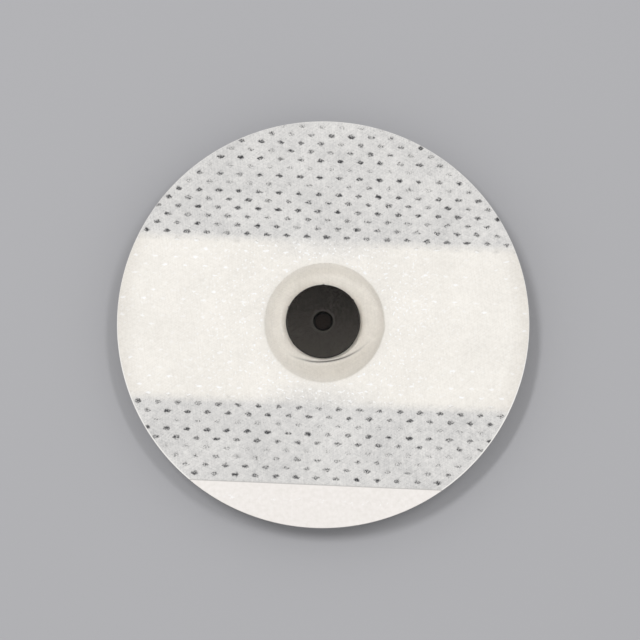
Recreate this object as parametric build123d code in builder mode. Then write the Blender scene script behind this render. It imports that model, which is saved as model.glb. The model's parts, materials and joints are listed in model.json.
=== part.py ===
from build123d import *
from math import atan2, hypot, radians, tan
import os

# Round snap electrode with its skin side up. Millimetres, +Z away from the lead wire, towards the skin.
# The axis of the snap is the Z axis, and the tip of the stud stands on Z = 0.
# The cross strip runs along X, and the pull tab is at -Y.

# Cloth disc, die cut from a point-bonded nonwoven web
disc_d = 50.0
cloth_t = 0.32

# Bond points: lozenge pits pressed into the cloth, staggered from row to row
bond_pitch = 2.44
bond_row_pitch = 1.055
bond_length = 0.96
bond_width = 0.56
bond_depth = 0.20
bond_clear = 0.20

# Film strip across the outer face, clamped between the cloth and the stud
strip_w = 20.0
strip_t = 0.12

# Film segment on the skin face, measured inwards from the rim
tab_depth = 5.2
tab_t = 0.10

# Snap stud: tapered flange, neck groove and bulged head
stud_h = 3.1
stud_flange_d = 10.0
stud_flange_t = 0.60
stud_flange_edge_t = 0.38
stud_flange_chamfer = 0.14
head_d = 3.9
head_h = 1.40
head_tip_round = 0.60
neck_undercut = 0.30
neck_slope_h = 0.45
neck_round = 0.40
socket_wall = 0.42
socket_floor_t = 0.75

# Sensor eyelet: cored flange, shoulder through the cloth and strip, post in the stud's socket
sensor_d = 9.06
sensor_t = 0.80
sensor_chamfer = 0.16
dimple_d = 2.30
dimple_depth = 0.70
dimple_draft = 6.0
dimple_chamfer = 0.10
shoulder_step = 0.40
post_lead_in = 0.30
post_clearance = 0.03
post_end_gap = 0.15
hole_clearance = 0.10

# Hydrogel disc, draped over the sensor's flange with a ring of air beside the flange
gel_d = 14.6
gel_t = 0.75
gel_chamfer = 0.30
gel_tent_w = 0.90

# Levels of the clamped stack, from the tip of the stud upwards
strip_z = stud_h + stud_flange_t
cloth_z = strip_z + strip_t
skin_z = cloth_z + cloth_t
sensor_top_z = skin_z + sensor_t
gel_top_z = sensor_top_z + gel_t

# Radii that one piece passes on to the next: head, neck, socket, post, shoulder, hole
disc_r = disc_d / 2
head_r = head_d / 2
neck_r = head_r - neck_undercut
socket_r = neck_r - socket_wall
post_r = socket_r - post_clearance
shoulder_r = post_r + shoulder_step
hole_r = shoulder_r + hole_clearance
flange_r = stud_flange_d / 2
sensor_r = sensor_d / 2
dimple_r = dimple_d / 2
gel_r = gel_d / 2
tab_edge_y = tab_depth - disc_r


def bond_points():
    """Centres of the bond points in the two bands that neither the strip nor the tab covers."""
    points = []
    rows = int(disc_r / bond_row_pitch)
    columns = int(disc_r / bond_pitch) + 1
    for row in range(-rows, rows + 1):
        y = row * bond_row_pitch
        past_strip = abs(y) - bond_width / 2 - bond_clear > strip_w / 2
        past_tab = y - bond_width / 2 - bond_clear > tab_edge_y
        if not (past_strip and past_tab):
            continue
        stagger = bond_pitch / 2 * (row % 2)
        for column in range(-columns, columns + 1):
            x = column * bond_pitch + stagger
            corner = hypot(abs(x) + bond_length / 2, abs(y) + bond_width / 2)
            if corner + bond_clear < disc_r:
                points.append((x, y))
    return points


# Cloth disc with its punched hole and the bond points pressed into the skin face
bond_outline = [
    (-bond_length / 2, 0),
    (0, -bond_width / 2),
    (bond_length / 2, 0),
    (0, bond_width / 2),
]
with BuildPart() as nonwoven_backing:
    with BuildSketch(Plane.XY.offset(cloth_z)):
        Circle(disc_r)
        Circle(hole_r, mode=Mode.SUBTRACT)
    extrude(amount=cloth_t)
    with BuildSketch(Plane.XY.offset(skin_z)):
        with Locations(*bond_points()):
            Polygon(*bond_outline)
    extrude(amount=-bond_depth, mode=Mode.SUBTRACT, clean=False)

# Film strip on the outer face, cut with the disc, so that its ends follow the rim
with BuildPart() as reinforcing_strip:
    with BuildSketch(Plane.XY.offset(strip_z)):
        Circle(disc_r)
        Rectangle(disc_d, strip_w, mode=Mode.INTERSECT)
        Circle(hole_r, mode=Mode.SUBTRACT)
    extrude(amount=strip_t)

# Film segment on the skin face, which leaves a dry edge to lift the electrode by
with BuildPart() as pull_tab_strip:
    with BuildSketch(Plane.XY.offset(skin_z)):
        Circle(disc_r)
        with Locations((0, tab_edge_y)):
            Rectangle(disc_d, disc_d, align=(Align.CENTER, Align.MAX), mode=Mode.INTERSECT)
    extrude(amount=tab_t)

# Stud, turned about the axis: rounded head, neck groove, tapered flange, socket open at the top
edge_z = strip_z - stud_flange_edge_t
with BuildPart() as snap_stud:
    with BuildSketch(Plane.XZ):
        with BuildLine():
            FilletPolyline(
                (0, 0),
                (head_r, 0),
                (head_r, head_h),
                (neck_r, head_h + neck_slope_h),
                (neck_r, stud_h),
                (flange_r - stud_flange_chamfer, edge_z),
                (flange_r, edge_z + stud_flange_chamfer),
                (flange_r, strip_z),
                (socket_r, strip_z),
                (socket_r, socket_floor_t),
                (0, socket_floor_t),
                radius=[0, head_tip_round, 0, 0, neck_round, 0, 0, 0, 0, 0, 0],
                close=True,
            )
        make_face()
    revolve(axis=Axis.Z)

# Sensor eyelet, turned about the axis: post, shoulder that seats on the stud, flange, cored dimple
post_end_z = socket_floor_t + post_end_gap
dimple_floor_z = sensor_top_z - dimple_depth
dimple_floor_r = dimple_r - dimple_depth * tan(radians(dimple_draft))
with BuildPart() as sensor_eyelet:
    with BuildSketch(Plane.XZ):
        with BuildLine():
            Polyline(
                (0, post_end_z),
                (post_r - post_lead_in, post_end_z),
                (post_r, post_end_z + post_lead_in),
                (post_r, strip_z),
                (shoulder_r, strip_z),
                (shoulder_r, skin_z),
                (sensor_r, skin_z),
                (sensor_r, sensor_top_z - sensor_chamfer),
                (sensor_r - sensor_chamfer, sensor_top_z),
                (dimple_r + dimple_chamfer, sensor_top_z),
                (dimple_r, sensor_top_z - dimple_chamfer),
                (dimple_floor_r, dimple_floor_z),
                (0, dimple_floor_z),
                close=True,
            )
        make_face()
    revolve(axis=Axis.Z)

# Gel disc of even thickness: flat on the sensor, down a slope past the flange, flat on the cloth
tent_r = sensor_r + gel_tent_w
drape_shift = gel_t * tan(atan2(sensor_t, gel_tent_w) / 2)
ring_top_z = skin_z + gel_t
gel_edge = min(gel_chamfer, (gel_r - tent_r - drape_shift) / 2)
with BuildPart() as hydrogel_disc:
    with BuildSketch(Plane.XZ):
        with BuildLine():
            Polyline(
                (0, sensor_top_z),
                (sensor_r, sensor_top_z),
                (tent_r, skin_z),
                (gel_r, skin_z),
                (gel_r, ring_top_z - gel_edge),
                (gel_r - gel_edge, ring_top_z),
                (tent_r + drape_shift, ring_top_z),
                (sensor_r + drape_shift, gel_top_z),
                (0, gel_top_z),
                close=True,
            )
        make_face()
    revolve(axis=Axis.Z)

nonwoven_backing.part.label = "nonwoven_backing"
reinforcing_strip.part.label = "reinforcing_strip"
pull_tab_strip.part.label = "pull_tab_strip"
snap_stud.part.label = "snap_stud"
sensor_eyelet.part.label = "sensor_eyelet"
hydrogel_disc.part.label = "hydrogel_disc"

os.makedirs("parts", exist_ok=True)
export_step(nonwoven_backing.part, "parts/nonwoven_backing.step")
export_step(reinforcing_strip.part, "parts/reinforcing_strip.step")
export_step(pull_tab_strip.part, "parts/pull_tab_strip.step")
export_step(snap_stud.part, "parts/snap_stud.step")
export_step(sensor_eyelet.part, "parts/sensor_eyelet.step")
export_step(hydrogel_disc.part, "parts/hydrogel_disc.step")
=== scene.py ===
import json
from math import cos, radians, sin

import bmesh
import bpy
import numpy as np
from mathutils import Matrix, Vector


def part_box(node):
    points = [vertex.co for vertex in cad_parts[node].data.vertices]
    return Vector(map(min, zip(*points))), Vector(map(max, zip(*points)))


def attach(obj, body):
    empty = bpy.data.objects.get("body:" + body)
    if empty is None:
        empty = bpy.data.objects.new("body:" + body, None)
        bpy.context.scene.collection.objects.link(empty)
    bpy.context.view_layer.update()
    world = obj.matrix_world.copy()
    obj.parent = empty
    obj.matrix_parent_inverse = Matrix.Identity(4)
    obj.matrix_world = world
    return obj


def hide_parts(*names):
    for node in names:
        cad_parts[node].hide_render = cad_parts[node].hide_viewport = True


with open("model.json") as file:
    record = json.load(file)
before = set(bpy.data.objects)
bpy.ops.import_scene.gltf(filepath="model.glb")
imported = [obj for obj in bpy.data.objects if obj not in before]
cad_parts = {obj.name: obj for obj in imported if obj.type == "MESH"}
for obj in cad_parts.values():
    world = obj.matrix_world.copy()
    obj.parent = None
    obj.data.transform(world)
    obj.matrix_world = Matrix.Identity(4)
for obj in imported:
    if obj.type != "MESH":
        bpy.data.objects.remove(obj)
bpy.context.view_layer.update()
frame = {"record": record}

# Nonwoven disc. A web of fine polypropylene fibres, welded together at rows of small points by a
# hot engraved roller, coated with skin adhesive on its upper face and die-cut round.
# Its middle is punched for the sensor, and a strip of film backs it from below along X.
MM = 0.001
cloth_low, cloth_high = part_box("nonwoven_backing")
disc_radius = cloth_high.x
strip_half_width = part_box("reinforcing_strip")[1].y
tab_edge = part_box("pull_tab_strip")[1].y
gel_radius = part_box("hydrogel_disc")[1].x
punched_radius = 1.70 * MM
die_height = 20 * MM

# The layers lie level out to the first radius, and their wave has its full height one run further out
flat_radius, wave_run = 9 * MM, 16 * MM

# Bond points, staggered from row to row, and the faintly welded rows, counted from the snap
bond_pitch, bond_row_pitch = 2.44 * MM, 1.055 * MM
bond_half_length, bond_half_width = 0.48 * MM, 0.28 * MM
weak_rows = (23, 18, 16, -12, -15, -16)

# Pits at the bond points, shallower over the strip and on the outer face, clear of gel, tab and rim
pit_depth = 0.17 * MM
pit_share_on_strip, pit_share_outside = 0.35, 0.25
pit_margin, pit_fade, rim_fade = 0.2 * MM, 0.4 * MM, 0.25 * MM


def die_cut_layer(name, width, depth, middle_y, low, high, cells):
    """A flat layer of fine square cells with a closed rim, cut to the disc and punched in the middle."""
    bpy.ops.object.select_all(action="DESELECT")
    bpy.ops.mesh.primitive_grid_add(x_subdivisions=cells[0], y_subdivisions=cells[1], size=1)
    layer = bpy.context.object
    layer.name = layer.data.name = name
    bpy.ops.object.mode_set(mode="EDIT")
    bpy.ops.transform.resize(value=(width, depth, 1))
    bpy.ops.transform.translate(value=(0, middle_y, high))
    bpy.ops.object.mode_set(mode="OBJECT")
    wall = layer.modifiers.new("thickness", "SOLIDIFY")
    wall.thickness, wall.offset = high - low, -1
    bpy.ops.object.modifier_apply(modifier=wall.name)
    for radius, sides, operation in ((disc_radius, 360, "INTERSECT"), (punched_radius, 64, "DIFFERENCE")):
        bpy.ops.object.select_all(action="DESELECT")
        bpy.ops.mesh.primitive_cylinder_add(vertices=sides, radius=radius, depth=die_height)
        die = bpy.context.object
        bpy.context.view_layer.objects.active = layer
        cut = layer.modifiers.new("die", "BOOLEAN")
        cut.operation, cut.object, cut.solver = operation, die, "EXACT"
        bpy.ops.object.modifier_apply(modifier=cut.name)
        bpy.data.objects.remove(die)
    return layer


def lie(x, y):
    """How far the limp layers lie off the level: flat under the gel, a faint wave towards the rim."""
    turn = np.arctan2(y, x)
    out = np.clip((np.hypot(x, y) - flat_radius) / wave_run, 0, None) ** 2
    return out * MM * (0.20 * np.cos(turn - 0.5) + 0.14 * np.cos(2 * turn + 1.0) - 0.06)


def bond_depth(x, y):
    """From 0 on the open web to 1 in the middle of a bond point, each point a little different."""
    row = np.round(y / bond_row_pitch)
    across = x / bond_pitch - 0.5 * (row % 2)
    column = np.round(across)
    # A repeatable number from 0 to 1 for each point
    chance = np.modf(np.abs(np.sin(row * 12.9898 + column * 78.233)) * 437.585)[0]
    far = np.hypot((across - column) * bond_pitch / bond_half_length,
                   (y - row * bond_row_pitch) / bond_half_width)
    return np.clip(1.55 - far, 0, 1) * (0.65 + 0.35 * chance)


def layer_points(layer):
    """The places of a mesh's points, one row each."""
    points = np.empty(len(layer.data.vertices) * 3)
    layer.data.vertices.foreach_get("co", points)
    return points.reshape(-1, 3)


def settle_layer(layer, points):
    """Moves a mesh to new points and shades it smooth."""
    layer.data.vertices.foreach_set("co", points.ravel())
    layer.data.update()
    bpy.ops.object.select_all(action="DESELECT")
    layer.select_set(True)
    bpy.context.view_layer.objects.active = layer
    bpy.ops.object.shade_smooth_by_angle(angle=radians(50))


# Eight cells to a pitch and five to a row give each bond point cells of its own.
cells_along, cells_across = 166, 240
cloth = die_cut_layer("nonwoven_disc", cells_along * bond_pitch / 8, cells_across * bond_row_pitch / 5, 0,
                      cloth_low.z, cloth_high.z, (cells_along, cells_across))
points = layer_points(cloth)
x, y = points[:, 0], points[:, 1]
distance = np.hypot(x, y)
open_web = np.clip((distance - gel_radius - pit_margin) / pit_fade, 0, 1)
open_web *= np.clip((disc_radius - distance) / rim_fade, 0, 1) * (y > tab_edge + pit_margin)
pits = bond_depth(x, y) * open_web * np.where(np.abs(y) < strip_half_width, pit_share_on_strip, 1.0)
skin_side = points[:, 2] > (cloth_low.z + cloth_high.z) / 2
points[:, 2] += lie(x, y) + np.where(skin_side, -pit_depth * pits, pit_share_outside * pit_depth * pits)
settle_layer(cloth, points)


def linear(colour):
    """A hex colour as the linear values that shaders take."""
    parts = [int(colour[i:i + 2], 16) / 255 for i in (1, 3, 5)]
    return [c / 12.92 if c <= 0.04045 else ((c + 0.055) / 1.055) ** 2.4 for c in parts] + [1.0]


def add_node(material, kind, inputs=None, out=0, **settings):
    """Adds a node, sets it, links or fills its inputs, and gives one of its outputs.

    On a Map Range, inputs 1 and 2 are the range that is read and 3 and 4 the range that is given.
    """
    node = material.node_tree.nodes.new(kind)
    for name, value in settings.items():
        setattr(node, name, value)
    for socket, value in (inputs or {}).items():
        if isinstance(value, bpy.types.NodeSocket):
            material.node_tree.links.new(value, node.inputs[socket])
        else:
            node.inputs[socket].default_value = value
    return node.outputs[out] if node.outputs else node


def bare_material(name):
    """A new material with an empty node tree."""
    material = bpy.data.materials.new(name)
    material.use_nodes = True
    material.node_tree.nodes.clear()
    return material


# Welded polypropylene web: matt and fibrous, cream where the film behind it stops light. Where the table
# shows through, painted shade makes it greyer and the nearly clear bond points dark irregular specks.
# Sizes here are in millimetres.
row_mm, pitch_mm = bond_row_pitch / MM, bond_pitch / MM
strip_edge_mm, rim_mm = strip_half_width / MM, disc_radius / MM
speck_half_length, speck_half_width = 0.52, 0.30
strand_length, strand_width = 1.1, 0.18
web = bare_material("nonwoven_polypropylene")
place = add_node(web, "ShaderNodeTexCoord", out="Object")
mm = add_node(web, "ShaderNodeVectorMath", {0: place, "Scale": 1000.0}, operation="SCALE")

# The lattice of bond points, with edges frayed by noise
ragged = add_node(web, "ShaderNodeTexNoise", {"Vector": mm, "Scale": 1 / 0.42, "Detail": 2.0}, out="Color")
ragged = add_node(web, "ShaderNodeVectorMath", {0: ragged, 1: (0.5, 0.5, 0.5)}, operation="SUBTRACT")
ragged = add_node(web, "ShaderNodeVectorMath", {0: ragged, "Scale": 0.55}, operation="SCALE")
frayed = add_node(web, "ShaderNodeVectorMath", {0: mm, 1: ragged}, operation="ADD")
frayed_xyz = add_node(web, "ShaderNodeSeparateXYZ", {0: frayed}, out="X").node.outputs
row = add_node(web, "ShaderNodeMath", {0: frayed_xyz["Y"], 1: row_mm}, operation="DIVIDE")
row_number = add_node(web, "ShaderNodeMath", {0: row}, operation="ROUND")
odd = add_node(web, "ShaderNodeMath", {0: row_number, 1: 2.0}, operation="FLOORED_MODULO")
column = add_node(web, "ShaderNodeMath", {0: frayed_xyz["X"], 1: pitch_mm}, operation="DIVIDE")
column = add_node(web, "ShaderNodeMath", {0: odd, 1: -0.5, 2: column}, operation="MULTIPLY_ADD")
column_number = add_node(web, "ShaderNodeMath", {0: column}, operation="ROUND")
along = add_node(web, "ShaderNodeMath", {0: column, 1: column_number}, operation="SUBTRACT")
along = add_node(web, "ShaderNodeMath", {0: along, 1: pitch_mm}, operation="MULTIPLY")
across = add_node(web, "ShaderNodeMath", {0: row, 1: row_number}, operation="SUBTRACT")
across = add_node(web, "ShaderNodeMath", {0: across, 1: row_mm}, operation="MULTIPLY")
across = add_node(web, "ShaderNodeMath", {0: across}, operation="ABSOLUTE")
bowed = add_node(web, "ShaderNodeMath", {0: along, 1: along}, operation="MULTIPLY")
bowed = add_node(web, "ShaderNodeMath", {0: bowed, 1: speck_half_width / speck_half_length ** 2, 2: across},
                 operation="MULTIPLY_ADD")
weld_id = add_node(web, "ShaderNodeCombineXYZ", {"X": column_number, "Y": row_number})
point_chance = add_node(web, "ShaderNodeTexWhiteNoise", {"Vector": weld_id}, out="Value",
                        noise_dimensions="2D")
row_chance = add_node(web, "ShaderNodeTexWhiteNoise", {"W": row_number}, out="Value",
                      noise_dimensions="1D")
weld = add_node(web, "ShaderNodeMapRange", {"Value": bowed, 1: 0.34, 2: 0.10},
                interpolation_type="SMOOTHSTEP")

# Points and rows differ in strength, the weak rows are fainter, and fine noise breaks each speck up
strength = add_node(web, "ShaderNodeMapRange", {"Value": point_chance, 3: 0.65, 4: 1.25})
row_strength = add_node(web, "ShaderNodeMapRange", {"Value": row_chance, 3: 0.66, 4: 1.00})
for weak_row in weak_rows:
    weak = add_node(web, "ShaderNodeMath", {0: row_number, 1: weak_row, 2: 0.5}, operation="COMPARE")
    row_strength = add_node(web, "ShaderNodeMath", {0: weak, 1: -0.42, 2: row_strength},
                            operation="MULTIPLY_ADD")
strength = add_node(web, "ShaderNodeMath", {0: strength, 1: row_strength}, operation="MULTIPLY")
fine = add_node(web, "ShaderNodeTexNoise", {"Vector": mm, "Scale": 1 / 0.14, "Detail": 3.0}, out="Fac")
fine = add_node(web, "ShaderNodeMapRange", {"Value": fine, 1: 0.3, 2: 0.7, 3: 0.60, 4: -0.75}, clamp=False)
clear = add_node(web, "ShaderNodeMath", {0: strength, 1: fine}, operation="ADD", use_clamp=True)
speck = add_node(web, "ShaderNodeMath", {0: clear, 1: weld}, operation="MULTIPLY")
stray = add_node(web, "ShaderNodeMapRange", {"Value": fine, 1: 0.28, 2: 0.60, 3: 0.0, 4: 0.30})
speck = add_node(web, "ShaderNodeMath", {0: speck, 1: stray}, operation="MAXIMUM")

# The film strip behind shows as a white band with soft edges. Beside the snap its edges are drawn less
# white, so more painted shade shows
true_xyz = add_node(web, "ShaderNodeSeparateXYZ", {0: mm}, out="X").node.outputs
off_middle = add_node(web, "ShaderNodeMath", {0: frayed_xyz["Y"]}, operation="ABSOLUTE")
backed = add_node(web, "ShaderNodeMapRange",
                  {"Value": off_middle, 1: strip_edge_mm + 0.70, 2: strip_edge_mm - 0.84},
                  interpolation_type="SMOOTHSTEP")
see_through = add_node(web, "ShaderNodeMath", {0: 1.0, 1: backed}, operation="SUBTRACT")
near_snap = add_node(web, "ShaderNodeMath", {0: true_xyz["X"]}, operation="ABSOLUTE")
near_snap = add_node(web, "ShaderNodeMapRange", {"Value": near_snap, 1: 10.0, 2: 1.0, 3: 0.0, 4: 0.55},
                     interpolation_type="SMOOTHSTEP")
snap_edge_tone = add_node(web, "ShaderNodeMapRange", {"Value": off_middle, 1: 6.8, 2: 9.6},
                  interpolation_type="SMOOTHSTEP")
snap_edge_tone = add_node(web, "ShaderNodeMath", {0: snap_edge_tone, 1: near_snap}, operation="MULTIPLY")
snap_edge_tone = add_node(web, "ShaderNodeMath", {0: 1.0, 1: snap_edge_tone}, operation="SUBTRACT")
whitened = add_node(web, "ShaderNodeMath", {0: backed, 1: snap_edge_tone}, operation="MULTIPLY")
speck = add_node(web, "ShaderNodeMath", {0: speck, 1: see_through}, operation="MULTIPLY")

# Fibres in three directions and looser clumps. Real fibres, about 0.02 mm thick, are too fine to show,
# so these strands are drawn several times as wide.
fibres = 0.0
for direction in (20, 80, 140):
    turned = add_node(web, "ShaderNodeVectorRotate", {"Vector": mm, "Angle": radians(direction)},
                      rotation_type="Z_AXIS")
    drawn = add_node(web, "ShaderNodeVectorMath", {0: turned, 1: (1 / strand_length, 1 / strand_width, 1)},
                     operation="MULTIPLY")
    strand = add_node(web, "ShaderNodeTexNoise", {"Vector": drawn, "Scale": 1.0, "Detail": 2.0}, out="Fac")
    fibres = add_node(web, "ShaderNodeMath", {0: strand, 1: fibres}, operation="ADD")
fibres = add_node(web, "ShaderNodeMapRange", {"Value": fibres, 1: 1.15, 2: 1.85})
clumps = add_node(web, "ShaderNodeTexNoise", {"Vector": mm, "Scale": 1 / 5.0, "Detail": 5.0}, out="Fac")
clumps = add_node(web, "ShaderNodeMapRange", {"Value": clumps, 1: 0.3, 2: 0.7})
density = add_node(web, "ShaderNodeMath", {0: fibres, 1: 0.65}, operation="MULTIPLY")
density = add_node(web, "ShaderNodeMath", {0: clumps, 1: 0.35, 2: density}, operation="MULTIPLY_ADD")
open_colour = add_node(web, "ShaderNodeMix", {"Factor": density, "A": linear("#c4c3c2"),
                                              "B": linear("#ebe9e6")}, out="Result", data_type="RGBA")
backed_colour = add_node(web, "ShaderNodeMix", {"Factor": density, "A": linear("#e9e5de"),
                                                "B": linear("#fbf7f0")}, out="Result", data_type="RGBA")
colour = add_node(web, "ShaderNodeMix", {"Factor": whitened, "A": open_colour, "B": backed_colour},
                  out="Result", data_type="RGBA")

# Cloth that the gel covers is darker, as wet cloth is, with painted shade at the sensor's foot. The gel's
# section writes both attributes.
gel_margin = add_node(web, "ShaderNodeAttribute", out="Fac", attribute_name="gel_margin")
under_gel = add_node(web, "ShaderNodeMapRange", {"Value": gel_margin, 1: 0.16, 2: -0.16},
                     interpolation_type="SMOOTHSTEP")
soaked_and_shaded = add_node(web, "ShaderNodeAttribute", out="Fac", attribute_name="soaked_and_shaded")
soaked_and_shaded = add_node(web, "ShaderNodeMath", {0: soaked_and_shaded, 1: under_gel}, operation="MULTIPLY")
colour = add_node(web, "ShaderNodeMix", {"Factor": soaked_and_shaded, "A": colour, "B": linear("#c8c3bb")},
                  out="Result", data_type="RGBA", blend_type="MULTIPLY")
# Painted shade: the shaded table under the disc, seen as dark specks through the bond points
colour = add_node(web, "ShaderNodeMix", {"Factor": speck, "A": colour, "B": linear("#39393c")},
                  out="Result", data_type="RGBA")

# Painted highlights: adhesive over the strip glints white on some bond points, a little more towards -X,
# and sparkles between them, most of all near the snap
glint = add_node(web, "ShaderNodeMapRange", {"Value": bowed, 1: 0.17, 2: 0.05})
chosen = add_node(web, "ShaderNodeMath", {0: point_chance, 1: row_chance}, operation="ADD")
chosen = add_node(web, "ShaderNodeMath", {0: true_xyz["X"], 1: -0.007, 2: chosen},
                  operation="MULTIPLY_ADD")
chosen = add_node(web, "ShaderNodeMapRange", {"Value": chosen, 1: 0.80, 2: 1.50, 3: 0.0, 4: 0.95})
glint = add_node(web, "ShaderNodeMath", {0: glint, 1: chosen}, operation="MULTIPLY")
spread = add_node(web, "ShaderNodeCombineXYZ", {"X": true_xyz["X"], "Y": true_xyz["Y"]})
spread = add_node(web, "ShaderNodeVectorMath", {0: spread}, out="Value", operation="LENGTH")
crowded = add_node(web, "ShaderNodeMapRange", {"Value": spread, 1: 18.0, 2: 9.0, 3: 0.25, 4: 0.95})
sparkle = add_node(web, "ShaderNodeTexNoise", {"Vector": mm, "Scale": 1 / 0.30, "Detail": 0.0}, out="Fac")
sparkle = add_node(web, "ShaderNodeMapRange", {"Value": sparkle, 1: 0.685, 2: 0.77})
sparkle = add_node(web, "ShaderNodeMath", {0: sparkle, 1: crowded}, operation="MULTIPLY")
glint = add_node(web, "ShaderNodeMath", {0: glint, 1: sparkle}, operation="MAXIMUM")
dried = add_node(web, "ShaderNodeMapRange", {"Value": gel_margin, 1: 0.10, 2: 0.40})
glint = add_node(web, "ShaderNodeMath", {0: glint, 1: backed}, operation="MULTIPLY")
glint = add_node(web, "ShaderNodeMath", {0: glint, 1: dried}, operation="MULTIPLY")
colour = add_node(web, "ShaderNodeMix", {"Factor": glint, "A": colour, "B": linear("#ffffff")},
                  out="Result", data_type="RGBA")

# The strip's ends grey a little towards the rim, and a painted highlight runs along the rim, wider at the
# tab
greyer_towards_rim = add_node(web, "ShaderNodeMapRange", {"Value": spread, 1: rim_mm - 2.2, 2: rim_mm - 0.1})
greyer_towards_rim = add_node(web, "ShaderNodeMath", {0: greyer_towards_rim, 1: backed}, operation="MULTIPLY")
colour = add_node(web, "ShaderNodeMix", {"Factor": greyer_towards_rim, "A": colour, "B": linear("#f2f1f0")},
                  out="Result", data_type="RGBA", blend_type="MULTIPLY")
# Painted highlight: a pale line along the rim
rim_highlight = add_node(web, "ShaderNodeMapRange", {"Value": true_xyz["Y"], 1: 2.0, 2: -8.0, 3: 0.0, 4: 0.10})
rim_highlight = add_node(web, "ShaderNodeMath", {0: spread, 1: rim_highlight}, operation="ADD")
rim_highlight = add_node(web, "ShaderNodeMapRange", {"Value": rim_highlight, 1: rim_mm - 0.05, 2: rim_mm - 0.01})
colour = add_node(web, "ShaderNodeMix", {"Factor": rim_highlight, "A": colour, "B": linear("#f4f2ee")},
                  out="Result", data_type="RGBA")
shine = add_node(web, "ShaderNodeMapRange", {"Value": glint, 3: 0.78, 4: 0.35})
fuzz = add_node(web, "ShaderNodeBump", {"Height": density, "Strength": 0.35, "Distance": 0.03 * MM})
surface = add_node(web, "ShaderNodeBsdfPrincipled", {"Base Color": colour, "Roughness": shine,
                                                     "Normal": fuzz, "Specular IOR Level": 0.3})
add_node(web, "ShaderNodeOutputMaterial", {"Surface": surface})
cloth.data.materials.append(web)
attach(cloth, "root")
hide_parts("nonwoven_backing")

# Reinforcing strip. A band of white polyethylene film laminated to the outer face of the cloth, which
# stiffens the disc where the snap pulls on it and stops the light that comes through the web.
# It is cut together with the disc, so its two ends follow the rim.
strip_low, strip_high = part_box("reinforcing_strip")
strip_blank_length = 2.08 * disc_radius
strip = die_cut_layer("film_strip", strip_blank_length, 2 * strip_half_width, 0,
                      strip_low.z, strip_high.z, (104, 40))
points = layer_points(strip)
points[:, 2] += lie(points[:, 0], points[:, 1])
settle_layer(strip, points)

# Polyethylene film: smooth, softly glossy and milky, with a faint unevenness from the cloth behind it.
film = bare_material("white_polyethylene_film")
place = add_node(film, "ShaderNodeTexCoord", out="Object")
mm = add_node(film, "ShaderNodeVectorMath", {0: place, "Scale": 1000.0}, operation="SCALE")
cloud = add_node(film, "ShaderNodeTexNoise", {"Vector": mm, "Scale": 1 / 3.0, "Detail": 4.0}, out="Fac")
grain = add_node(film, "ShaderNodeTexNoise", {"Vector": mm, "Scale": 1 / 0.3, "Detail": 3.0}, out="Fac")
mixed = add_node(film, "ShaderNodeMath", {0: cloud, 1: grain}, operation="ADD")
mixed = add_node(film, "ShaderNodeMapRange", {"Value": mixed, 1: 0.7, 2: 1.3})
colour = add_node(film, "ShaderNodeMix", {"Factor": mixed, "A": linear("#ebe7e1"), "B": linear("#f3f0ea")},
                  out="Result", data_type="RGBA")
gloss = add_node(film, "ShaderNodeMapRange", {"Value": mixed, 3: 0.32, 4: 0.48})
dents = add_node(film, "ShaderNodeBump", {"Height": mixed, "Strength": 0.25, "Distance": 0.05 * MM})
surface = add_node(film, "ShaderNodeBsdfPrincipled", {"Base Color": colour, "Roughness": gloss,
                                                      "Normal": dents, "IOR": 1.51})
add_node(film, "ShaderNodeOutputMaterial", {"Surface": surface})
strip.data.materials.append(film)
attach(strip, "root")
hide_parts("reinforcing_strip")

# Pull tab. A slip of thin white film stuck over the adhesive at one side of the disc, which leaves
# fingers a dry edge to lift the disc by.
# It is cut with the disc, and its inner edge is straight.
tab_low, tab_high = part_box("pull_tab_strip")
tab_blank_low, tab_blank_width = -1.02 * disc_radius, 1.30 * disc_radius
tab = die_cut_layer("film_tab", tab_blank_width, tab_edge - tab_blank_low, (tab_edge + tab_blank_low) / 2,
                    tab_low.z, tab_high.z, (130, 24))
points = layer_points(tab)
points[:, 2] += lie(points[:, 0], points[:, 1])
settle_layer(tab, points)

# Polyester film over sticky cloth: cream white and smooth, with a painted grey line at its slit inner edge
# for the cut edge and the shade at its step, and a row of painted highlights, bright specks where the
# cloth's bond points hold it down. Places here are in millimetres.
tab_edge_mm, bright_row = tab_edge / MM, -21.3
tab_film = bare_material("cream_polyester_film")
place = add_node(tab_film, "ShaderNodeTexCoord", out="Object")
mm = add_node(tab_film, "ShaderNodeVectorMath", {0: place, "Scale": 1000.0}, operation="SCALE")
cloud = add_node(tab_film, "ShaderNodeTexNoise", {"Vector": mm, "Scale": 1 / 0.5, "Detail": 5.0}, out="Fac")
cloud = add_node(tab_film, "ShaderNodeMapRange", {"Value": cloud, 1: 0.3, 2: 0.7})
colour = add_node(tab_film, "ShaderNodeMix", {"Factor": cloud, "A": linear("#eae5e0"),
                                              "B": linear("#f3eeea")}, out="Result", data_type="RGBA")
film_xyz = add_node(tab_film, "ShaderNodeSeparateXYZ", {0: mm}, out="X").node.outputs
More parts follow.
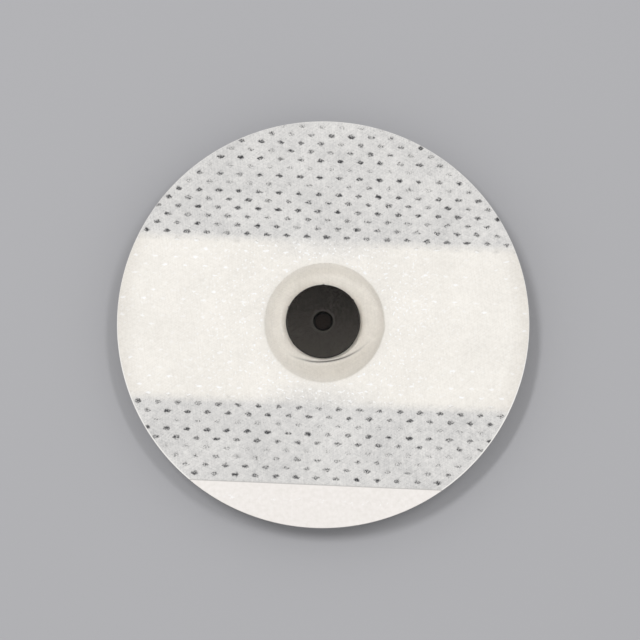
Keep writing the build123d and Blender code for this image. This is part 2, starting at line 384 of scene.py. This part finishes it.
# Painted highlights: a row of bright specks
glint_dash = add_node(tab_film, "ShaderNodeMath", {0: cloud, 1: 0.8, 2: film_xyz["Y"]}, operation="MULTIPLY_ADD")
glint_dash = add_node(tab_film, "ShaderNodeMath", {0: glint_dash, 1: bright_row}, operation="SUBTRACT")
glint_dash = add_node(tab_film, "ShaderNodeMath", {0: glint_dash}, operation="ABSOLUTE")
glint_dash = add_node(tab_film, "ShaderNodeMapRange", {"Value": glint_dash, 1: 0.14, 2: 0.05, 3: 0.0, 4: 0.60})
held = add_node(tab_film, "ShaderNodeTexNoise", {"Vector": mm, "Scale": 1 / 0.42, "Detail": 1.0}, out="Fac")
held = add_node(tab_film, "ShaderNodeMapRange", {"Value": held, 1: 0.52, 2: 0.66})
glint_dash = add_node(tab_film, "ShaderNodeMath", {0: glint_dash, 1: held}, operation="MULTIPLY")
colour = add_node(tab_film, "ShaderNodeMix", {"Factor": glint_dash, "A": colour, "B": linear("#ffffff")},
                  out="Result", data_type="RGBA")
# Painted shade with the film's cut edge: a grey line along the inner edge
edge_and_shade_line = add_node(tab_film, "ShaderNodeMapRange",
                {"Value": film_xyz["Y"], 1: tab_edge_mm - 0.13, 2: tab_edge_mm - 0.04})
colour = add_node(tab_film, "ShaderNodeMix", {"Factor": edge_and_shade_line, "A": colour, "B": linear("#b9b6b3")},
                  out="Result", data_type="RGBA")
ripple = add_node(tab_film, "ShaderNodeBump", {"Height": cloud, "Strength": 0.2, "Distance": 0.05 * MM})
surface = add_node(tab_film, "ShaderNodeBsdfPrincipled", {"Base Color": colour, "Roughness": 0.42,
                                                          "Normal": ripple, "IOR": 1.5})
add_node(tab_film, "ShaderNodeOutputMaterial", {"Surface": surface})
tab.data.materials.append(tab_film)
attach(tab, "root")
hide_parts("pull_tab_strip")

# Snap stud. The button under the electrode that a lead wire's socket clips onto, moulded in one piece:
# a round head, a narrower neck and a thin flange, hollow inside for the sensor's post.
# The flange is pressed up against the film strip.
stud_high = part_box("snap_stud")[1]
head_radius = frame["record"]["mounts"][0]["dims"]["r_mm"] * MM
neck_radius, socket_radius = head_radius - 0.30 * MM, 1.23 * MM
flange_radius, flange_top = stud_high.x, stud_high.z
flange_low, flange_edge_low = flange_top - 0.60 * MM, flange_top - 0.38 * MM
flange_bevel_in, flange_bevel_up = 0.12 * MM, 0.10 * MM
head_height, neck_start, socket_floor = 1.40 * MM, 1.85 * MM, 0.75 * MM
tip_round, neck_round, stud_edge_round = 0.60 * MM, 0.40 * MM, 0.05 * MM


def turned_piece(name, sides, profile, rounding):
    """A moulded round piece: a disc drawn up and in or out through each (radius, height), edges rounded."""
    bpy.ops.object.select_all(action="DESELECT")
    radius, height = profile[0]
    bpy.ops.mesh.primitive_circle_add(vertices=sides, radius=radius, fill_type="NGON")
    piece = bpy.context.object
    piece.name = piece.data.name = name
    bpy.ops.object.mode_set(mode="EDIT")
    bpy.ops.transform.translate(value=(0, 0, height))
    for next_radius, next_height in profile[1:]:
        bpy.ops.mesh.extrude_region_move(TRANSFORM_OT_translate={"value": (0, 0, next_height - height)})
        bpy.ops.transform.resize(value=(next_radius / radius, next_radius / radius, 1),
                                 center_override=(0, 0, next_height))
        radius, height = next_radius, next_height
    bpy.ops.mesh.select_all(action="SELECT")
    bpy.ops.mesh.normals_make_consistent(inside=False)
    bpy.ops.object.mode_set(mode="OBJECT")
    edges = piece.modifiers.new("moulded edges", "BEVEL")
    edges.width, edges.segments = rounding, 3
    edges.limit_method, edges.angle_limit = "ANGLE", radians(25)
    bpy.ops.object.modifier_apply(modifier=edges.name)
    bpy.ops.object.shade_smooth_by_angle(angle=radians(35))
    return piece


stud_profile = [(head_radius - tip_round, 0)]
for angle in range(15, 91, 15):
    stud_profile.append((head_radius - tip_round + tip_round * sin(radians(angle)),
                         tip_round - tip_round * cos(radians(angle))))
stud_profile += [(head_radius, head_height), (neck_radius, neck_start),
                 (neck_radius, flange_low - neck_round)]
for angle in (30, 60, 90):
    stud_profile.append((neck_radius + neck_round * (1 - cos(radians(angle))),
                         flange_low - neck_round * (1 - sin(radians(angle)))))
stud_profile += [(flange_radius - flange_bevel_in, flange_edge_low),
                 (flange_radius, flange_edge_low + flange_bevel_up),
                 (flange_radius, flange_top), (socket_radius, flange_top), (socket_radius, socket_floor)]
stud = turned_piece("stud_button", 96, stud_profile, stud_edge_round)

# Carbon-filled ABS: almost black, with the matt grain of an eroded mould, faint flow marks and a few
# paler specks where filler lies at the surface. The real grain, a few hundredths of a millimetre, is too
# fine to show, so it is drawn at 0.2 mm.
carbon = bare_material("carbon_filled_abs")
place = add_node(carbon, "ShaderNodeTexCoord", out="Object")
mm = add_node(carbon, "ShaderNodeVectorMath", {0: place, "Scale": 1000.0}, operation="SCALE")
flow = add_node(carbon, "ShaderNodeTexNoise", {"Vector": mm, "Scale": 1 / 2.4, "Detail": 3.0}, out="Fac")
flow = add_node(carbon, "ShaderNodeMapRange", {"Value": flow, 1: 0.35, 2: 0.65})
grain = add_node(carbon, "ShaderNodeTexNoise", {"Vector": mm, "Scale": 1 / 0.2, "Detail": 3.0}, out="Fac")
filler = add_node(carbon, "ShaderNodeMapRange", {"Value": grain, 1: 0.58, 2: 0.74})
colour = add_node(carbon, "ShaderNodeMix", {"Factor": flow, "A": linear("#1d1b19"), "B": linear("#262421")},
                  out="Result", data_type="RGBA")
colour = add_node(carbon, "ShaderNodeMix", {"Factor": filler, "A": colour, "B": linear("#45423e")},
                  out="Result", data_type="RGBA")
matt = add_node(carbon, "ShaderNodeMapRange", {"Value": grain, 1: 0.3, 2: 0.7, 3: 0.48, 4: 0.66})
eroded = add_node(carbon, "ShaderNodeBump", {"Height": grain, "Strength": 0.3, "Distance": 0.02 * MM})
surface = add_node(carbon, "ShaderNodeBsdfPrincipled", {"Base Color": colour, "Roughness": matt,
                                                        "Normal": eroded, "IOR": 1.54})
add_node(carbon, "ShaderNodeOutputMaterial", {"Surface": surface})
stud.data.materials.append(carbon)
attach(stud, "root")
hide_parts("snap_stud")

# Sensor eyelet. The flat round electrode on the skin side, moulded with a post that goes through the
# punched cloth and film into the stud's socket and locks the two together.
# The dimple in its face is where the post is cored, and its rim keeps a few burrs from trimming.
sensor_low, sensor_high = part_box("sensor_eyelet")
sensor_radius, sensor_top = sensor_high.x, sensor_high.z
post_radius, post_lead_in, shoulder_radius = 1.20 * MM, 0.30 * MM, 1.60 * MM
wall_taper, rim_chamfer, sensor_edge_round = 0.12 * MM, 0.16 * MM, 0.04 * MM
dimple_radius, dimple_depth = 1.15 * MM, 0.70 * MM
dimple_chamfer, dimple_draft = 0.10 * MM, 0.06 * MM
sensor_profile = [
    (post_radius - post_lead_in, sensor_low.z),
    (post_radius, sensor_low.z + post_lead_in),
    (post_radius, flange_top),
    (shoulder_radius, flange_top),
    (shoulder_radius, cloth_high.z),
    (sensor_radius - wall_taper, cloth_high.z),
    (sensor_radius, sensor_top - rim_chamfer),
    (sensor_radius - rim_chamfer, sensor_top),
    (dimple_radius + dimple_chamfer, sensor_top),
    (dimple_radius, sensor_top - dimple_chamfer),
    (dimple_radius - dimple_draft, sensor_top - dimple_depth),
]
sensor = turned_piece("sensor_disc", 192, sensor_profile, sensor_edge_round)

# Burrs: direction in degrees and height in millimetres
burrs = ((92, 0.09), (38, 0.07), (160, 0.08), (-140, 0.06), (-35, 0.04))
burr_reach, burr_half_turn = 0.3 * MM, 0.022
points = layer_points(sensor)
turn = np.arctan2(points[:, 1], points[:, 0])
at_rim = np.clip((np.hypot(points[:, 0], points[:, 1]) - sensor_radius + burr_reach) / burr_reach, 0, 1)
for where, size in burrs:
    burr = size * MM * at_rim * np.exp(-((turn - radians(where)) / burr_half_turn) ** 2)
    points[:, 0] += burr * np.cos(turn)
    points[:, 1] += burr * np.sin(turn)
sensor.data.vertices.foreach_set("co", points.ravel())
sensor.data.update()

# The same plastic wetted by gel: with no air on its face it hardly shines, so it looks deeper. A painted
# reflection greys the face a little towards the pull tab, a painted highlight makes the dimple's lip pale,
# and painted shade makes the dimple dull black inside and the rim dark. Sizes here are in millimetres, and
# the grain is as coarse as on the stud.
sensor_rim_mm, dimple_mm = sensor_radius / MM, dimple_radius / MM
wet_carbon = bare_material("gel_wetted_carbon_abs")
place = add_node(wet_carbon, "ShaderNodeTexCoord", out="Object")
mm = add_node(wet_carbon, "ShaderNodeVectorMath", {0: place, "Scale": 1000.0}, operation="SCALE")
face_xyz = add_node(wet_carbon, "ShaderNodeSeparateXYZ", {0: mm}, out="X").node.outputs
grain = add_node(wet_carbon, "ShaderNodeTexNoise", {"Vector": mm, "Scale": 1 / 0.20, "Detail": 2.0},
                 out="Fac")
grain = add_node(wet_carbon, "ShaderNodeMapRange", {"Value": grain, 1: 0.35, 2: 0.65, 3: -0.34, 4: 0.34})
# Painted reflection greys the face towards -Y; the grain is added to it
sheen_and_grain = add_node(wet_carbon, "ShaderNodeMapRange", {"Value": face_xyz["Y"], 1: 4.5, 2: -4.5})
sheen_and_grain = add_node(wet_carbon, "ShaderNodeMath", {0: sheen_and_grain, 1: grain}, operation="ADD")
colour = add_node(wet_carbon, "ShaderNodeMix", {"Factor": sheen_and_grain, "A": linear("#1c1917"),
                                                "B": linear("#3e3b37")}, out="Result", data_type="RGBA")
spread = add_node(wet_carbon, "ShaderNodeCombineXYZ", {"X": face_xyz["X"], "Y": face_xyz["Y"]})
spread = add_node(wet_carbon, "ShaderNodeVectorMath", {0: spread}, out="Value", operation="LENGTH")
# Painted highlight: a pale ring on the dimple's rounded lip
lip_highlight = add_node(wet_carbon, "ShaderNodeMapRange",
               {"Value": spread, 1: dimple_mm + 0.45, 2: dimple_mm + 0.09, 3: 0.0, 4: 0.45})
colour = add_node(wet_carbon, "ShaderNodeMix", {"Factor": lip_highlight, "A": colour, "B": linear("#4a4743")},
                  out="Result", data_type="RGBA")
# Painted shade: the dimple black at its wall and dull dark on its floor
dimple_shade = add_node(wet_carbon, "ShaderNodeMapRange",
                 {"Value": spread, 1: dimple_mm + 0.07, 2: dimple_mm + 0.03})
colour = add_node(wet_carbon, "ShaderNodeMix", {"Factor": dimple_shade, "A": colour, "B": linear("#020201")},
                  out="Result", data_type="RGBA")
dimple_shade = add_node(wet_carbon, "ShaderNodeMapRange",
                 {"Value": spread, 1: dimple_mm - 0.22, 2: dimple_mm - 0.28})
colour = add_node(wet_carbon, "ShaderNodeMix", {"Factor": dimple_shade, "A": colour, "B": linear("#1a1411")},
                  out="Result", data_type="RGBA")
# Painted shade: the rim's chamfer dark
rim_shade = add_node(wet_carbon, "ShaderNodeMapRange",
                   {"Value": spread, 1: sensor_rim_mm - 0.13, 2: sensor_rim_mm - 0.07})
colour = add_node(wet_carbon, "ShaderNodeMix", {"Factor": rim_shade, "A": colour, "B": linear("#080706")},
                  out="Result", data_type="RGBA")
surface = add_node(wet_carbon, "ShaderNodeBsdfPrincipled", {"Base Color": colour, "Roughness": 0.6,
                                                            "IOR": 1.08})
add_node(wet_carbon, "ShaderNodeOutputMaterial", {"Surface": surface})
sensor.data.materials.append(wet_carbon)
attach(sensor, "root")
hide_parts("sensor_eyelet")

# Hydrogel disc. A soft, wet, tacky disc of clear gel laid over the sensor, which carries the signal from
# the skin. It drapes off the sensor's rim onto the cloth, thins to a feather edge, and has a crease at
# one side where it dips more steeply.
gel_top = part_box("hydrogel_disc")[1].z
wetting = 0.02 * MM
feather = 1.1 * MM
turns = np.radians(np.arange(-180, 180, 360 / 288))

# The tent is where the gel bends down off the sensor: its reach from the axis for a few directions,
# evened out round the disc
tent_turns = np.radians([-180, -150, -130, -115, -92, -78, -64, -45, -20, 0, 30, 60, 90, 135, 180])
tent_reach = MM * np.array([5.75, 5.80, 5.78, 5.36, 5.10, 5.05, 5.13, 5.42, 6.10, 6.25, 6.40, 6.00, 5.70,
                            5.80, 5.75])
tent = np.interp(turns, tent_turns, tent_reach)
blur = np.exp(-(np.arange(-8, 9) / 4.0) ** 2)
tent = np.convolve(np.concatenate([tent[-8:], tent, tent[:8]]), blur / blur.sum(), "valid")

# The outline lies a little towards +X, with a small bulge there and a slight oval
outline = gel_radius + 0.16 * MM * np.cos(turns)
outline += 0.10 * MM * np.exp(-((turns + 0.05) / 0.10) ** 2)
outline -= 0.03 * MM * np.cos(2 * turns + 0.8)
crease = np.exp(-((np.degrees(turns) + 78) / 46) ** 4)
groove_depth, groove_half_width = 0.015 * MM, 0.06 * MM
fall_start, fall_run = sensor_radius + 0.45 * MM, 1.60 * MM


def smooth_step(value, start, stop):
    """From 0 at start to 1 at stop, with no kink at either."""
    part = np.clip((value - start) / (stop - start), 0, 1)
    return part * part * (3 - 2 * part)


def gel_face(radius):
    """The height of the gel's skin side at a radius for each direction."""
    fall = smooth_step(radius, fall_start, tent + fall_run)
    groove = groove_depth * crease * np.exp(-((radius - tent) / groove_half_width) ** 2)
    return gel_top - (sensor_top - cloth_high.z) * fall - groove


def round_the_gel(turn, values):
    """What a value given for each direction of the gel is at other directions."""
    return np.interp(turn, turns, values, period=2 * np.pi)


# Rings of points from the middle of the face outwards, close together at the crease, over the feather
# edge and back underneath, up the sensor's wall and across it into the dimple
level_radius, crease_zone = 4.3 * MM, 0.36 * MM
one_side = MM * np.array([0.02, 0.04, 0.07, 0.10, 0.15, 0.22, 0.30])
near = np.concatenate([-one_side[::-1], [0.0], one_side])
every = np.ones_like(turns)
radii = [part * MM * every for part in (0.5, 1.0, 1.6, 2.2, 2.8, 3.4, 3.8, 4.1, 4.3)]
radii += [level_radius * (1 - part) + (tent - crease_zone) * part for part in np.linspace(0.1, 1, 10)]
radii += [tent + step for step in near]
radii += [(tent + crease_zone) * (1 - part) + (outline - feather) * part for part in np.linspace(0, 1, 6)]
rings = [(radius, gel_face(radius)) for radius in radii]
under = cloth_high.z - wetting
for part in np.linspace(0.08, 1, 12):
    radius = outline - feather + feather * part
    rings.append((radius, under + (gel_face(radius) - under) * (1 - 0.94 * part ** 1.8)))
rings.append((outline, under * every))
on_sensor, in_dimple = sensor_top - wetting, sensor_top - dimple_depth - wetting
inner_rings = (
    (sensor_radius - 0.15 * MM, under),
    (sensor_radius - 0.03 * MM, on_sensor),
    (dimple_radius + 0.12 * MM, on_sensor),
    (dimple_radius + 0.02 * MM, on_sensor - 0.1 * MM),
    (dimple_radius - 0.04 * MM, in_dimple),
)
for radius, height in inner_rings:
    rings.append((radius * every, height * every))
shell = bmesh.new()
loops = [[shell.verts.new((r * cos(t), r * sin(t), z)) for r, t, z in zip(ring, turns, heights)]
         for ring, heights in rings]
for one, two in zip(loops, loops[1:]):
    for i in range(len(turns)):
        j = (i + 1) % len(turns)
        shell.faces.new((one[i], two[i], two[j], one[j]))
for loop, middle in ((loops[0], gel_top), (loops[-1], in_dimple)):
    pole = shell.verts.new((0, 0, middle))
    for i in range(len(turns)):
        shell.faces.new((pole, loop[i], loop[(i + 1) % len(turns)]))
bmesh.ops.recalc_face_normals(shell, faces=shell.faces)
gel_mesh = bpy.data.meshes.new("gel_pad")
shell.to_mesh(gel_mesh)
shell.free()
gel = bpy.data.objects.new("gel_pad", gel_mesh)
bpy.context.scene.collection.objects.link(gel)
bpy.ops.object.select_all(action="DESELECT")
gel.select_set(True)
bpy.context.view_layer.objects.active = gel
bpy.ops.object.shade_smooth_by_angle(angle=radians(50))

# The crease's dark line, painted shade on the gel's upper side only
crease_shade_half_width = 0.12 * MM
points = layer_points(gel)
turn, far = np.arctan2(points[:, 1], points[:, 0]), np.hypot(points[:, 0], points[:, 1])
crease_shade = round_the_gel(turn, crease) * (points[:, 2] > cloth_high.z + 0.1 * MM)
crease_shade *= np.exp(-((far - round_the_gel(turn, tent)) / crease_shade_half_width) ** 2)
gel_mesh.attributes.new("crease_shade", "FLOAT", "POINT").data.foreach_set("value", crease_shade)

# Cloth under the gel is drawn darker, as wet cloth is: paler inside the tent, most of all beside the
# crease.
# Painted shade darkens it at the sensor's foot; how it varies round the sensor is painted light and shade.
tent_blend, foot_fade = 0.25 * MM, 0.58 * MM
points = layer_points(cloth)
turn, far = np.arctan2(points[:, 1], points[:, 0]), np.hypot(points[:, 0], points[:, 1])
reach = round_the_gel(turn, tent)
edge = round_the_gel(turn, outline)
airy = 0.08 + 0.22 * np.exp(-((turn - 1.31) / 0.70) ** 2)
airy += 0.30 * round_the_gel(turn, crease)
wet_and_shade = 0.585 * (1 - airy * smooth_step(far, reach + tent_blend, reach - tent_blend))
wet_and_shade *= 1 + 0.05 * np.cos(turn + 0.35) - 0.072 * np.cos(2 * turn - 0.80)
wet_and_shade *= 1 - 0.25 * np.clip(1 - np.cos(turn), 0, 1) * smooth_step(far, edge - 1.2 * MM, edge - 0.1 * MM)
# Painted shade: a dark line on the cloth at the sensor's foot
foot_shade = 0.22 + 0.14 * np.cos(turn) ** 2 + 0.08 * np.cos(turn - 0.30) + 0.05 * np.sin(turn)
wet_and_shade += foot_shade * np.exp(-np.clip(far - sensor_radius, 0, None) / foot_fade)
cloth.data.attributes.new("soaked_and_shaded", "FLOAT", "POINT").data.foreach_set("value", wet_and_shade)
cloth.data.attributes.new("gel_margin", "FLOAT", "POINT").data.foreach_set("value", (far - edge) / MM)

# Polyacrylate hydrogel: mostly water, so it bends light a little more than water does. Its cast face is
# slightly uneven, and what it wets below looks darker than dry cloth. Lamp light passes straight through
# it, so that it casts no hard shadow on the cloth.
water_gel = bare_material("clear_polyacrylate_hydrogel")
place = add_node(water_gel, "ShaderNodeTexCoord", out="Object")
mm = add_node(water_gel, "ShaderNodeVectorMath", {0: place, "Scale": 1000.0}, operation="SCALE")
haze = add_node(water_gel, "ShaderNodeTexNoise", {"Vector": mm, "Scale": 1 / 0.9, "Detail": 3.0}, out="Fac")
cast = add_node(water_gel, "ShaderNodeBump", {"Height": haze, "Strength": 0.15, "Distance": 0.05 * MM})
# Painted shade: the crease's dark line tints the gel's colour
crease_shaded = add_node(water_gel, "ShaderNodeAttribute", out="Fac", attribute_name="crease_shade")
colour = add_node(water_gel, "ShaderNodeMix", {"Factor": crease_shaded, "A": linear("#ffffff"),
                                               "B": linear("#060505")}, out="Result", data_type="RGBA")
surface = add_node(water_gel, "ShaderNodeBsdfPrincipled", {
    "Base Color": colour, "Roughness": 0.12, "IOR": 1.35, "Transmission Weight": 1.0, "Normal": cast,
    "Specular Tint": linear("#b4b4b4")})
passed = add_node(water_gel, "ShaderNodeBsdfTransparent")
shadow = add_node(water_gel, "ShaderNodeLightPath", out="Is Shadow Ray")
surface = add_node(water_gel, "ShaderNodeMixShader", {0: shadow, 1: surface, 2: passed})
add_node(water_gel, "ShaderNodeOutputMaterial", {"Surface": surface})
gel.data.materials.append(water_gel)
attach(gel, "root")
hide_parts("hydrogel_disc")

# Table top, light and camera. A plain grey table, two long lamps high on either side and a little
# behind, even light from all round, and a camera that looks almost straight down.
bpy.ops.object.select_all(action="DESELECT")
bpy.ops.mesh.primitive_plane_add(size=3)
table = bpy.context.object
table.name = "table_top"
grey = bare_material("matt_grey_laminate")
place = add_node(grey, "ShaderNodeTexCoord", out="Object")
tone = add_node(grey, "ShaderNodeTexNoise", {"Vector": place, "Scale": 1 / 0.08, "Detail": 2.0}, out="Fac")
colour = add_node(grey, "ShaderNodeMix", {"Factor": tone, "A": linear("#b0b0b3"), "B": linear("#b3b3b6")},
                  out="Result", data_type="RGBA")
surface = add_node(grey, "ShaderNodeBsdfPrincipled", {"Base Color": colour, "Roughness": 0.9,
                                                      "Specular IOR Level": 0.1})
add_node(grey, "ShaderNodeOutputMaterial", {"Surface": surface})
table.data.materials.append(grey)

world = bpy.context.scene.world or bpy.data.worlds.new("room")
bpy.context.scene.world = world
world.use_nodes = True
world.node_tree.nodes["Background"].inputs["Color"].default_value = (1, 1, 1, 1)
world.node_tree.nodes["Background"].inputs["Strength"].default_value = 0.60

# Each lamp's side and power in watts, with the left one stronger. Lengths are in metres.
lamps = ((-1, 1.12), (1, 0.65))
lamp_out, lamp_back, lamp_up = 0.207, 0.105, 0.60
lamp_length, lamp_width = 0.20, 0.06
for side, power in lamps:
    lamp_place = Vector((lamp_out * side, lamp_back, lamp_up))
    bpy.ops.object.light_add(type="AREA", location=lamp_place)
    lamp = bpy.context.object
    lamp.data.shape, lamp.data.size, lamp.data.size_y = "RECTANGLE", lamp_length, lamp_width
    lamp.rotation_euler = (-lamp_place).to_track_quat("-Z", "Y").to_euler()
    lamp.data.energy = power

eye_distance, tilt, swing, roll = 0.400, radians(9.69), radians(2.20), radians(2.58)
middle = Vector((0, 0, cloth_high.z))
aim = middle + Vector((-0.385, 0.28, 0)) * MM
eye = middle + eye_distance * Vector((sin(tilt) * sin(swing), -sin(tilt) * cos(swing), cos(tilt)))
ahead = (aim - eye).normalized()
right = ahead.cross((0, 1, 0)).normalized()
upright = Matrix((right, right.cross(ahead), -ahead)).transposed().to_4x4()
bpy.ops.object.camera_add()
camera = bpy.context.object
camera.matrix_world = Matrix.Translation(eye) @ upright @ Matrix.Rotation(roll, 4, "Z")
camera.data.sensor_width = 36
camera.data.lens = 185.5
camera.data.clip_start = 0.01
bpy.context.scene.camera = camera
bpy.context.scene.view_settings.view_transform = "Standard"
